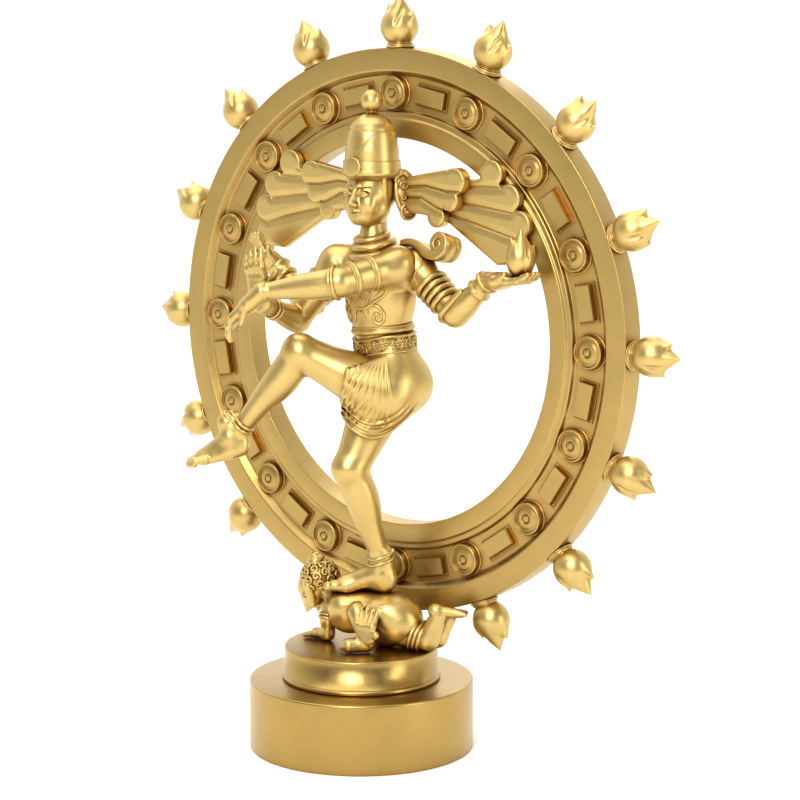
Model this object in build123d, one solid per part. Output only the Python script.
"""Brass nataraja statue: a dancing figure in a ring of flames, on a stepped round pedestal.

Millimetres, +Z up. The origin is the middle of the pedestal's resting face, and the figure
faces -Y. "Left" and "right" are the figure's own, so the raised leg is the left one.
"""
import math
import os

from build123d import *

# ---------------------------------------------------------------- driving dimensions
LOWER_R, LOWER_H = 40.0, 25.0          # lower drum of the pedestal
UPPER_R, UPPER_H = 27.4, 12.0          # upper drum
BEAD_R = 0.9                           # bead at the foot of the upper drum
PAD_R, PAD_T = 36.0, 1.5               # felt pad, let into the lower drum flush with its face
TOP_Z = LOWER_H + UPPER_H              # the surface that the dwarf lies on

RING_Z = 147.5                         # height of the ring's centre
RING_OUT_R, RING_IN_R = 100.4, 69.1
RING_FRONT_Y, RING_BACK_Y = 17.2, 26.4
RING_MID_Y = (RING_FRONT_Y + RING_BACK_Y) / 2
CHANNEL_OUT_R, CHANNEL_IN_R = 93.0, 78.4
CHANNEL_DEPTH = 2.2
LEDGE_IN_R, LEDGE_DEPTH = 75.8, 1.0    # step between the inner band and the channel
ORNAMENT_R = 84.8                      # circle of the medallions and panels
ORNAMENTS = 16
MEDALLION_R, MEDALLION_H = 5.7, 2.6
PANEL_L, PANEL_W, PANEL_H = 13.8, 8.0, 2.2
PIN_R, PIN_L, PIN_GAP = 1.5, 4.0, 0.05  # pin that holds a flame in the rim
FLAME_R, FLAME_H = 6.3, 19.0

POST_R, SCREW_R, HEAD_R, HEAD_H = 5.0, 2.0, 3.6, 3.0
DWARF_SCREW_X, DWARF_SCREW_Y = 6.0, 2.0

FAN_Y = 13.9                           # front face of the outer tier of hair
FAN_T = RING_FRONT_Y - FAN_Y
INNER_FAN_T = 3.6

TORSO_Z = 141.0                        # plane where the garment meets the torso
CROWN_Z, CROWN_R, CROWN_H = 205.0, 10.1, 18.4
HEAD_C = (0.5, 5.0, 196.0)
FOOT_PIN_R = 1.2

# joints of the skeleton
L_SHOULDER, L_ELBOW, L_WRIST = (15.0, 1.5, 173.5), (7.0, -20.0, 169.0), (-18.0, -31.0, 165.0)
R_SHOULDER, R_ELBOW, R_WRIST = (-12.5, 2.5, 172.5), (-26.0, -4.0, 152.0), (-24.3, -24.0, 159.3)
RL_SHOULDER, RL_ELBOW, RL_WRIST = (18.5, 8.0, 173.0), (36.7, 7.0, 158.0), (50.5, 7.0, 170.0)
RR_SHOULDER, RR_ELBOW, RR_WRIST = (-14.5, 8.5, 171.5), (-32.0, 8.5, 156.0), (-46.5, 9.0, 168.5)
L_HIP, L_KNEE, L_ANKLE = (11.0, 1.0, 135.0), (-12.0, -18.0, 143.0), (-33.0, -27.0, 115.0)
R_HIP, R_KNEE, R_ANKLE = (6.0, 5.0, 128.0), (2.0, -8.0, 102.0), (8.5, 3.0, 69.0)
SOLE_Z = 56.5


# ---------------------------------------------------------------- helpers
def vec(p):
    return Vector(*p)


def aim(origin, target):
    """Place at origin whose own +Z looks at target."""
    return Plane(origin=vec(origin), z_dir=(vec(target) - vec(origin)).normalized()).location


def along(a, b, t):
    """The point a fraction t of the way from a to b."""
    return tuple(vec(a) + (vec(b) - vec(a)) * t)


def turned(profile):
    """Solid turned about Z from (radius, height) points joined by straight lines."""
    face = make_face(Plane.XZ * Polyline([(r, z) for r, z in profile], close=True))
    return revolve(face, Axis.Z)


def limb_part(a, b, radii):
    """Round limb from a to b, with its radii spaced evenly and joined by a smooth outline."""
    length = (vec(b) - vec(a)).length
    count = len(radii) - 1
    points = [(r, length * i / count) for i, r in enumerate(radii)]
    outline = Spline(*points) if count > 1 else Line(*points)
    edges = [outline, Line(points[-1], (0, length)), Line((0, length), (0, 0)), Line((0, 0), points[0])]
    face = make_face([Plane.XZ * e for e in edges])
    return aim(a, b) * revolve(face, Axis.Z)


def ball(centre, radius):
    return Pos(*centre) * Sphere(radius)


def egg(centre, radii, tilt=(0, 0, 0)):
    """Ellipsoid with the given half-axes."""
    return Pos(*centre) * Rot(*tilt) * scale(Sphere(1.0), by=radii)


def finger(a, b, r0, r1):
    """Tapered finger or toe with a round tip."""
    return limb_part(a, b, [r0, r1]) + ball(b, r1)


def cut(body, *others):
    """The body without what its neighbours fill."""
    for other in others:
        body = body - other
    return body


def largest(body):
    """The main solid of a body that a cut may have left with loose crumbs."""
    return max(body.solids(), key=lambda s: s.volume)


def band(a, b, t, radius, width, thick):
    """Hoop round a limb, a fraction t of the way from a to b."""
    inner, outer, half = radius - 0.6, radius + thick, width / 2
    hoop = turned([(inner, -half), (outer - 0.4, -half), (outer, -half * 0.5), (outer, half * 0.5),
                   (outer - 0.4, half), (inner, half)])
    return aim(along(a, b, t), b) * hoop


def stack(rings):
    """Smooth trunk through level ellipses: (z, x, y, half width, half depth) each."""
    return loft([Plane(origin=(x, y, z)) * Ellipse(rx, ry) for z, x, y, rx, ry in rings])


# ---------------------------------------------------------------- pedestal
def screw_places():
    return [(0.0, RING_MID_Y), (DWARF_SCREW_X, DWARF_SCREW_Y)]


def base_parts():
    lower = Pos(0, 0, LOWER_H / 2) * Cylinder(LOWER_R, LOWER_H)
    lower = fillet(lower.edges().group_by(Axis.Z)[-1], 0.8)
    lower = fillet(lower.edges().group_by(Axis.Z)[0], 0.5)
    lower -= Pos(0, 0, PAD_T / 2) * Cylinder(PAD_R, PAD_T)
    upper = Pos(0, 0, LOWER_H + UPPER_H / 2) * Cylinder(UPPER_R, UPPER_H)
    upper = fillet(upper.edges().group_by(Axis.Z)[-1], 0.7)
    bead = Pos(0, 0, LOWER_H + BEAD_R) * Torus(UPPER_R, BEAD_R)
    upper += bead
    pad = Pos(0, 0, PAD_T / 2) * Cylinder(PAD_R, PAD_T)
    screws = []
    for x, y in screw_places():
        shank = Pos(x, y, (PAD_T + TOP_Z + 6) / 2) * Cylinder(SCREW_R, TOP_Z + 6 - PAD_T)
        head = Pos(x, y, PAD_T + HEAD_H / 2) * Cylinder(HEAD_R, HEAD_H)
        screws.append(shank + head)
    for screw in screws:
        lower -= screw
        upper -= screw
    return lower, upper, pad, Compound(children=screws), screws


# ---------------------------------------------------------------- ring
def ring_spot(angle, radius, y):
    """Place on the ring: own +Z looks forward (-Y), own +X points outward."""
    a = math.radians(angle)
    outward = Vector(math.cos(a), 0, math.sin(a))
    origin = Vector(0, y, RING_Z) + outward * radius
    return Plane(origin=origin, x_dir=outward, z_dir=(0, -1, 0)).location


def rim_spot(angle):
    """Place on the rim: own +Z points outward."""
    a = math.radians(angle)
    outward = Vector(math.cos(a), 0, math.sin(a))
    return Plane(origin=Vector(0, RING_MID_Y, RING_Z) + outward * RING_OUT_R, x_dir=(0, 1, 0),
                 z_dir=outward).location


def flame_angles():
    step = 360 / ORNAMENTS
    return [90 + step * i for i in range(ORNAMENTS) if i != ORNAMENTS // 2]


def ring_part():
    floor_y = RING_FRONT_Y + CHANNEL_DEPTH
    ledge_y = RING_FRONT_Y + LEDGE_DEPTH
    profile = [(RING_IN_R, RING_FRONT_Y), (LEDGE_IN_R, RING_FRONT_Y), (LEDGE_IN_R, ledge_y),
               (CHANNEL_IN_R - 0.8, ledge_y), (CHANNEL_IN_R, floor_y), (CHANNEL_OUT_R - 0.8, floor_y),
               (CHANNEL_OUT_R, RING_FRONT_Y), (RING_OUT_R, RING_FRONT_Y), (RING_OUT_R, RING_BACK_Y),
               (RING_IN_R, RING_BACK_Y)]
    ring = Pos(0, 0, RING_Z) * Rot(90, 0, 0) * turned([(r, -y) for r, y in profile])
    for angle in flame_angles():
        ring -= rim_spot(angle) * Pos(0, 0, -PIN_L / 2) * Cylinder(PIN_R + PIN_GAP, PIN_L)
    return ring


def medallion():
    h = MEDALLION_H
    return turned([(0, 0), (MEDALLION_R + 0.5, 0), (MEDALLION_R + 0.5, 0.5), (MEDALLION_R - 0.2, 0.6),
                   (MEDALLION_R - 0.4, h * 0.55), (4.0, h * 0.95), (2.4, h), (1.9, h * 0.75),
                   (1.3, h * 0.75), (1.0, h * 1.05), (0, h * 1.1)])


def panel():
    plate = Box(PANEL_W - 2.4, PANEL_L - 1.6, PANEL_H, align=(Align.CENTER, Align.CENTER, Align.MIN))
    frame = Box(PANEL_W, PANEL_L, PANEL_H * 0.2, align=(Align.CENTER, Align.CENTER, Align.MIN))
    return frame + chamfer(plate.edges().group_by(Axis.Z)[-1], 0.25)


def flame():
    """Bud of fire on a collar, with a pin below: three tongues, the middle one tallest."""
    bud = turned([(0, -PIN_L), (PIN_R, -PIN_L), (PIN_R, 0), (4.2, 0), (4.4, 0.8), (3.4, 1.6),
                  (5.2, 4.0), (FLAME_R, 7.5), (5.6, 10.0), (3.6, 13.0), (0.35, FLAME_H), (0, FLAME_H)])
    for side in (-1, 1):
        root, tip = (0, side * 2.8, 6.5), (0, side * 5.6, FLAME_H * 0.8)
        bud += limb_part(root, tip, [3.2, 0.3])
    return bud


# ---------------------------------------------------------------- hair
ROOTS = [(13.0, 203.2), (13.0, 199.5), (13.0, 195.8), (13.0, 192.2)]
OUTER_LOBES = [(46.0, 206.4, 4.4), (53.4, 198.0, 4.6), (57.8, 189.8, 4.6), (57.4, 180.5, 4.4)]
INNER_LOBES = [(33.2, 202.8, 4.2), (31.4, 196.2, 3.8), (24.8, 190.2, 3.4)]


def fan(lobes, y_front, thick, root_x):
    """Flat tier of locks on the left: each lock is a strip from the head to its round end."""
    locks = []
    for (x, z, r), (_, root_z) in zip(lobes, ROOTS):
        spine = Vector(x - root_x, z - root_z, 0)
        length = spine.length
        across = Vector(-spine.Y, spine.X, 0) * (1 / length)
        root, end = Vector(root_x, root_z, 0), Vector(x, z, 0)
        corners = [root + across * 2.6, end + across * r, end - across * r, root - across * 2.6]
        outline = [(c.X, c.Y) for c in corners]
        locks.append(make_face(Polyline(outline, close=True)) + Pos(x, z) * Circle(r))
    shape = locks[0]
    for lock in locks[1:]:
        shape += lock
    return Pos(0, y_front + thick, 0) * Rot(90, 0, 0) * extrude(shape, thick)


# ---------------------------------------------------------------- figure
def torso_part():
    return stack([(TORSO_Z, 7.0, 5.6, 11.8, 9.0), (147.0, 5.8, 5.8, 10.8, 8.4),
                  (157.0, 4.4, 5.2, 12.2, 9.2), (168.0, 2.6, 4.4, 14.4, 9.6),
                  (175.5, 1.8, 4.6, 14.0, 7.6), (180.0, 1.8, 4.6, 6.2, 5.8)])


def head_part():
    neck = Pos(1.3, 4.8, 184.5) * Cylinder(4.8, 9.0)
    skull = egg(HEAD_C, (8.4, 9.4, 12.4))
    above_crown = Pos(0, 0, CROWN_Z + 20) * Box(60, 60, 40)
    return neck + skull - above_crown


def crown_part():
    r, h = CROWN_R, CROWN_H
    shell = turned([(0, 0), (r, 0), (r, 0.8), (r * 0.97, 1.0), (r * 0.94, 4.2), (r * 0.9, 4.4),
                    (r * 0.84, h * 0.72), (r * 0.8, h * 0.8), (r * 0.62, h * 0.9), (r * 0.3, h * 0.98),
                    (0, h)])
    return Pos(1.0, 5.0, CROWN_Z) * shell


def finial_part():
    stem_r, ball_r, stem_h = 1.3, 3.9, 3.4
    stem = Pos(1.0, 5.0, CROWN_Z + CROWN_H - 1 + stem_h / 2) * Cylinder(stem_r, stem_h + 2)
    return stem + ball((1.0, 5.0, CROWN_Z + CROWN_H + stem_h + 2.8), ball_r)


def ear_part(side):
    x = HEAD_C[0] + side * 9.4
    plate = egg((x, 9.6, 198.0), (1.5, 2.4, 5.0))
    pendant = aim((x, 9.0, 192.2), (x + side, 8.2, 192.2)) * Cylinder(2.7, 2.6)
    return plate + pendant


def hand_part(wrist, palm_centre, palm_size, palm_look, tips, knuckle, thumb):
    """Mitt-like hand: a palm block, four fingers to the given tips, and a thumb."""
    block = Box(*palm_size)
    block = fillet(block.edges(), min(palm_size) * 0.3)
    hand = aim(palm_centre, palm_look) * block
    hand += limb_part(wrist, palm_centre, [2.7, 2.2])
    for base, tip in zip(knuckle, tips):
        hand += finger(base, tip, 1.05, 0.75)
    return hand + finger(thumb[0], thumb[1], 1.2, 0.8)


def spread(a, b, count):
    return [along(a, b, i / (count - 1)) for i in range(count)]


def arm_part(shoulder, elbow, wrist, girth):
    upper, lower, end = girth
    arm = limb_part(shoulder, elbow, [upper, upper * 0.98, lower])
    arm += ball(elbow, lower) + ball(shoulder, upper)
    return arm + limb_part(elbow, wrist, [lower, lower * 0.95, end])


def leg_part(hip, knee, ankle, girth):
    thigh, knee_r, calf, ankle_r = girth
    leg = limb_part(hip, knee, [thigh, thigh * 0.92, knee_r]) + ball(knee, knee_r)
    return leg + limb_part(knee, ankle, [knee_r * 0.95, calf, (calf + ankle_r) / 2, ankle_r])


def foot_part(ankle, heel, ball_of_foot, toe_ends, sole_drop):
    """Foot: heel, instep and five toes in a row."""
    foot = ball(heel, 3.3) + limb_part(ankle, heel, [3.6, 3.3])
    foot += limb_part(ankle, ball_of_foot, [3.4, 2.4]) + limb_part(heel, ball_of_foot, [3.2, 2.6])
    for toe in spread(*toe_ends, 5):
        foot += finger(along(ball_of_foot, toe, 0.2), toe, 1.5, 0.9)
    return foot - sole_drop if sole_drop else foot


def garment_part():
    trunk = stack([(122.0, 6.5, 5.0, 9.0, 8.5), (127.0, 7.0, 5.6, 13.0, 11.5), (133.0, 7.5, 5.6, 14.6, 12.6),
                   (138.0, 7.2, 5.6, 13.2, 10.6), (TORSO_Z, 7.0, 5.6, 11.8, 9.0)])
    left = limb_part(along(L_HIP, L_KNEE, 0.0), along(L_HIP, L_KNEE, 0.46), [10.8, 10.8, 10.2])
    right = limb_part(along(R_HIP, R_KNEE, -0.1), along(R_HIP, R_KNEE, 0.42), [10.6, 10.8, 9.8])
    above = Pos(0, 0, TORSO_Z + 20) * Box(80, 80, 40)
    return trunk + cut(left, above) + cut(right, above)


def waist_band(z, height, rx, ry, x, y, tilt):
    hoop = extrude(Ellipse(rx, ry) - Ellipse(rx - 2.4, ry - 2.4), height)
    return Pos(x, y, z) * Rot(0, tilt, 0) * hoop


def scroll_part():
    """Scarf end on the left shoulder: a strap that dips and curls into a round roll."""
    axis_from, axis_to = (29.5, 5.0, 181.6), (33.0, 11.0, 179.8)
    roll = aim(axis_from, axis_to) * Cylinder(4.4, 9.0, align=(Align.CENTER, Align.CENTER, Align.MIN))
    strap = limb_part((15.5, 6.5, 179.5), (22.0, 7.5, 177.5), [2.6, 2.4])
    strap += ball((22.0, 7.5, 177.5), 2.4) + limb_part((22.0, 7.5, 177.5), (30.5, 8.0, 179.5), [2.4, 2.4])
    return roll + strap


def chest_ornament_part():
    """Raised scroll on the chest, below the crossing arm."""
    curl = aim((3.0, -3.6, 158.5), (3.0, -10.0, 158.5)) * Torus(3.0, 1.1)
    stem = aim((6.0, -4.0, 165.0), (6.0, -10.0, 165.2)) * Torus(3.6, 1.1)
    return curl + stem


# ---------------------------------------------------------------- dwarf
def dwarf_parts():
    floor = Pos(0, 0, TOP_Z - 15) * Box(120, 120, 30)
    sole = Pos(0, 0, SOLE_Z + 15) * Box(60, 60, 30)
    rump, chest, face = (12.8, 4.4, 46.8), (-5.0, -1.0, 48.0), (-17.5, -2.6, 58.6)
    trunk = ball(rump, 9.8) + ball(chest, 8.6) + limb_part(chest, rump, [8.2, 8.8, 9.3])
    body = cut(trunk, floor, sole)
    head = cut(ball(face, 7.8), trunk)
    near = limb_part((-1.0, -7.0, 50.0), (7.0, -9.4, 41.0), [4.0, 3.6, 2.4]) + ball((7.0, -9.4, 39.9), 2.8)
    near += limb_part((11.4, -6.6, 39.8), (5.0, -13.4, 39.4), [2.6, 2.6, 2.3]) + ball((5, -13.4, 39.4), 2.3)
    far = limb_part((-12.0, -3.0, 49.5), (-11.0, -4.4, 40.6), [3.4, 3.2, 3.0]) + ball((-11, -4.4, 40.2), 3.1)
    far += limb_part((-11.0, -4.4, 39.8), (-21.5, -3.2, 38.8), [2.8, 2.4, 1.9]) + ball((-21.5, -3.2, 38.8), 1.8)
    leg = limb_part((16.0, 5.0, 42.0), (24.0, 6.8, 40.6), [5.2, 4.6, 3.9]) + ball((24.0, 6.8, 40.8), 3.7)
    leg += limb_part((24.0, 6.8, 40.6), (29.4, 6.4, 50.6), [3.7, 3.2, 2.1]) + ball((29.8, 6.6, 51.6), 2.2)
    leg += limb_part((29.6, 6.6, 51.6), (35.0, 12.4, 51.2), [2.1, 1.6]) + ball((35.0, 12.4, 51.2), 1.6)
    other = limb_part((14.0, 9.0, 42.0), (24.0, 13.0, 40.2), [4.6, 4.2, 3.2]) + ball((24, 13, 40.2), 3.2)
    limbs = [cut(piece, floor, body, head) for piece in (near, far, leg + other)]
    return body, head, limbs, floor


# ---------------------------------------------------------------- assembly
def write(shape, name):
    export_step(shape, f"parts/{name}.step")


def main():
    os.makedirs("parts", exist_ok=True)
    lower, upper, pad, screws, screw_list = base_parts()
    write(lower, "base_drum")
    write(upper, "base_upper_drum")
    write(pad, "base_pad")
    write(screws, "base_screws")

    ring = ring_part()
    post_top = Pos(0, RING_MID_Y, RING_Z) * Rot(90, 0, 0) * Cylinder(RING_OUT_R, 60)
    post = Pos(0, RING_MID_Y, TOP_Z + 8) * Box(2 * POST_R, RING_BACK_Y - RING_FRONT_Y - 2, 16)
    post = cut(post, post_top, screw_list[0])
    write(ring, "ring")
    write(post, "ring_post")
    floor_y = RING_FRONT_Y + CHANNEL_DEPTH
    step = 360 / ORNAMENTS
    medallions = [ring_spot(90 + step * i, ORNAMENT_R, floor_y) * medallion() for i in range(ORNAMENTS)]
    panels = [ring_spot(90 + step * (i + 0.5), ORNAMENT_R, floor_y) * panel() for i in range(ORNAMENTS)]
    write(Compound(children=medallions), "ring_medallions")
    write(Compound(children=panels), "ring_panels")
    fire = flame()
    rim = Pos(0, RING_MID_Y, RING_Z) * Rot(90, 0, 0) * Cylinder(RING_OUT_R, 9.2)
    pin_zone = Cylinder(PIN_R, 2 * PIN_L + 1)
    for i, angle in enumerate(flame_angles(), 1):
        lit = rim_spot(angle) * fire
        sunk = cut(lit, rim) + (rim_spot(angle) * pin_zone & lit)
        write(largest(sunk), f"flame_{i:02d}")

    torso = torso_part()
    head = cut(head_part(), torso)
    crown = crown_part()
    finial = cut(finial_part(), crown)
    disc_at = (1.9, -5.2, CROWN_Z + 2.8)
    disc = cut(aim(disc_at, (1.9, -9.0, CROWN_Z + 3.0)) * Cylinder(2.9, 2.4), crown, head)
    ears = {side: cut(ear_part(side), head, crown) for side in (-1, 1)}
    collar = Pos(1.8, 4.5, 177.6) * turned([(4.6, 0), (9.6, 0), (9.4, 1.4), (6.6, 4.0), (5.8, 5.2), (4.6, 5.2)])
    collar = cut(collar, torso, head)
    write(head, "head")
    write(crown, "crown")
    write(finial, "crown_finial")
    write(largest(disc), "crown_disc")
    write(Compound(children=[largest(ears[1]), largest(ears[-1])]), "earrings")
    write(largest(collar), "necklace")
    for side, name in ((1, "left"), (-1, "right")):
        outer = fan(OUTER_LOBES, FAN_Y, FAN_T, 9.0)
        inner = fan(INNER_LOBES, FAN_Y - INNER_FAN_T, INNER_FAN_T, 8.0)
        if side < 0:
            outer, inner = mirror(outer, Plane.YZ), mirror(inner, Plane.YZ)
        outer = cut(outer, head, crown)
        inner = cut(inner, head, crown, ears[side])
        write(largest(cut(outer, ears[side])), f"hair_fan_{name}_outer")
        write(largest(inner), f"hair_fan_{name}_inner")

    garment = garment_part()
    fl_arm = cut(arm_part(L_SHOULDER, L_ELBOW, L_WRIST, (5.4, 4.7, 2.9)), torso)
    fr_arm = cut(arm_part(R_SHOULDER, R_ELBOW, R_WRIST, (5.2, 4.4, 2.9)), torso)
    rl_arm = cut(arm_part(RL_SHOULDER, RL_ELBOW, RL_WRIST, (5.2, 4.9, 3.2)), torso, fl_arm)
    rr_arm = cut(arm_part(RR_SHOULDER, RR_ELBOW, RR_WRIST, (5.0, 4.7, 3.1)), torso, fr_arm)
    arms = [largest(a) for a in (fl_arm, fr_arm, rl_arm, rr_arm)]
    fl_hand = hand_part(L_WRIST, (-23.5, -32.4, 161.0), (3.2, 7.0, 8.0), (-27.5, -33.4, 156.0),
                        spread((-31.6, -31.5, 148.2), (-29.4, -36.5, 147.2), 4),
                        spread((-27.0, -30.6, 158.0), (-25.8, -35.6, 157.4), 4),
                        ((-22.5, -34.5, 159.0), (-23.6, -35.0, 153.6)))
    fr_hand = hand_part(R_WRIST, (-25.4, -24.8, 166.0), (8.2, 3.4, 7.6), (-25.4, -24.8, 172.0),
                        spread((-31.2, -25.6, 175.2), (-23.8, -25.6, 177.0), 4),
                        spread((-28.4, -24.9, 168.5), (-22.8, -24.9, 169.3), 4),
                        ((-22.4, -24.6, 164.0), (-18.6, -24.0, 171.2)))
    rl_hand = hand_part(RL_WRIST, (58.6, 7.2, 171.8), (3.0, 8.6, 8.4), (64.0, 7.2, 171.9),
                        spread((68.2, 3.6, 172.4), (68.2, 11.0, 172.4), 4),
                        spread((61.8, 3.8, 171.9), (61.8, 10.6, 171.9), 4),
                        ((56.0, 3.6, 172.2), (58.6, 1.2, 175.6)))
    rr_hand = hand_part(RR_WRIST, (-51.0, 8.8, 173.4), (7.6, 3.4, 7.4), (-53.4, 8.8, 178.0),
                        spread((-56.6, 6.0, 181.2), (-50.6, 5.4, 183.2), 4),
                        spread((-56.4, 9.0, 176.6), (-50.4, 8.8, 179.2), 4),
                        ((-48.2, 7.6, 174.0), (-46.0, 3.8, 177.0)))
    hands = [cut(fl_hand, arms[0]), cut(fr_hand, arms[1], arms[0], fl_hand), cut(rl_hand, arms[2]),
             cut(rr_hand, arms[3])]
    arms[1] = largest(cut(arms[1], arms[0]))
    light = Pos(60.6, 7.2, 173.0) * turned([(0, 0), (2.6, 0), (4.6, 2.4), (5.2, 5.2), (4.4, 8.4), (2.4, 12.2),
                                            (0.3, 16.8), (0, 16.8)])
    light = cut(light, hands[2])
    legs = [cut(leg_part(L_HIP, L_KNEE, L_ANKLE, (10.2, 6.1, 6.2, 3.5)), garment),
            cut(leg_part(R_HIP, R_KNEE, R_ANKLE, (10.0, 6.2, 6.2, 3.6)), garment)]
    upper_belt = waist_band(148.6, 3.0, 11.9, 9.5, 5.7, 5.7, 0)
    lower_belt = waist_band(141.4, 6.4, 13.2, 10.6, 6.3, 5.6, 4)
    legs = [largest(cut(leg, torso, lower_belt)) for leg in legs]
    below_sole = Pos(0, 0, SOLE_Z - 20) * Box(80, 80, 40)
    feet = [foot_part(L_ANKLE, (-36.4, -26.6, 108.6), (-46.5, -31.0, 104.8),
                      ((-53.0, -31.0, 101.8), (-51.6, -36.6, 102.6)), None),
            foot_part(R_ANKLE, (9.4, 3.6, 59.6), (-4.0, -3.0, 58.6),
                      ((-11.0, -2.0, 58.0), (-7.6, -8.2, 58.0)), below_sole)]
    feet = [largest(cut(foot, leg)) for foot, leg in zip(feet, legs)]
    write(torso, "torso")
    write(garment, "garment")
    for shape, name in zip(arms, ("front_left_arm", "front_right_arm", "rear_left_arm", "rear_right_arm")):
        write(shape, name)
    for shape, name in zip(hands, ("front_left_hand", "front_right_hand", "rear_left_hand", "rear_right_hand")):
        write(largest(shape), name)
    write(largest(light), "hand_flame")
    for shape, name in zip(legs + feet, ("left_leg", "right_leg", "left_foot", "right_foot")):
        write(shape, name)

    write(largest(cut(upper_belt, torso, garment)), "belt_upper")
    write(largest(cut(lower_belt, torso, garment, upper_belt)), "belt_ornate")
    arm_bands = [band(L_SHOULDER, L_ELBOW, t, 5.2, 1.4, 0.7) for t in (0.42, 0.8)]
    arm_bands += [band(RL_SHOULDER, RL_ELBOW, t, 5.2, 1.9, 1.0) for t in (0.44, 0.56, 0.68, 0.8)]
    arm_bands += [band(RR_SHOULDER, RR_ELBOW, t, 5.0, 1.9, 1.0) for t in (0.44, 0.56, 0.68, 0.8)]
    solid_figure = [torso] + arms
    arm_bands = [largest(cut(hoop, *solid_figure)) for hoop in arm_bands]
    bracelets = [band(R_ELBOW, R_WRIST, t, 3.6, 1.5, 0.8) for t in (0.62, 0.9)]
    bracelets += [band(L_ELBOW, L_WRIST, 0.93, 3.1, 1.5, 0.8), band(RL_ELBOW, RL_WRIST, 0.86, 3.6, 2.6, 0.7)]
    bracelets = [largest(cut(hoop, *arms, *hands)) for hoop in bracelets]
    anklets = [band(L_KNEE, L_ANKLE, 0.94, 3.6, 2.4, 1.0), band(R_KNEE, R_ANKLE, 0.96, 3.7, 2.6, 1.0)]
    anklets = [largest(cut(hoop, *legs, *feet)) for hoop in anklets]
    write(Compound(children=arm_bands), "arm_bands")
    write(Compound(children=bracelets), "bracelets")
    write(Compound(children=anklets), "anklets")
    scroll = cut(scroll_part(), torso, arms[0], arms[2], *arm_bands)
    scroll = cut(scroll, fan(OUTER_LOBES, FAN_Y, FAN_T, 9.0))
    write(largest(scroll), "shoulder_scroll")
    write(largest(cut(chest_ornament_part(), torso, *arms)), "chest_ornament")

    body, face, limbs, _ = dwarf_parts()
    body = cut(body, screw_list[1])
    right_foot = feet[1]
    pin_at = (8.6, 2.4, SOLE_Z)
    pin = Pos(*pin_at) * Cylinder(FOOT_PIN_R, 7.0)
    write(cut(body, pin, right_foot), "dwarf_body")
    write(largest(cut(face, right_foot)), "dwarf_head")
    near_arm, far_arm, dwarf_legs = [largest(cut(shape, right_foot)) for shape in limbs]
    write(Compound(children=[near_arm, far_arm]), "dwarf_arms")
    write(dwarf_legs, "dwarf_legs")
    write(pin, "foot_pin")
    write(cut(right_foot, pin), "right_foot")


main()
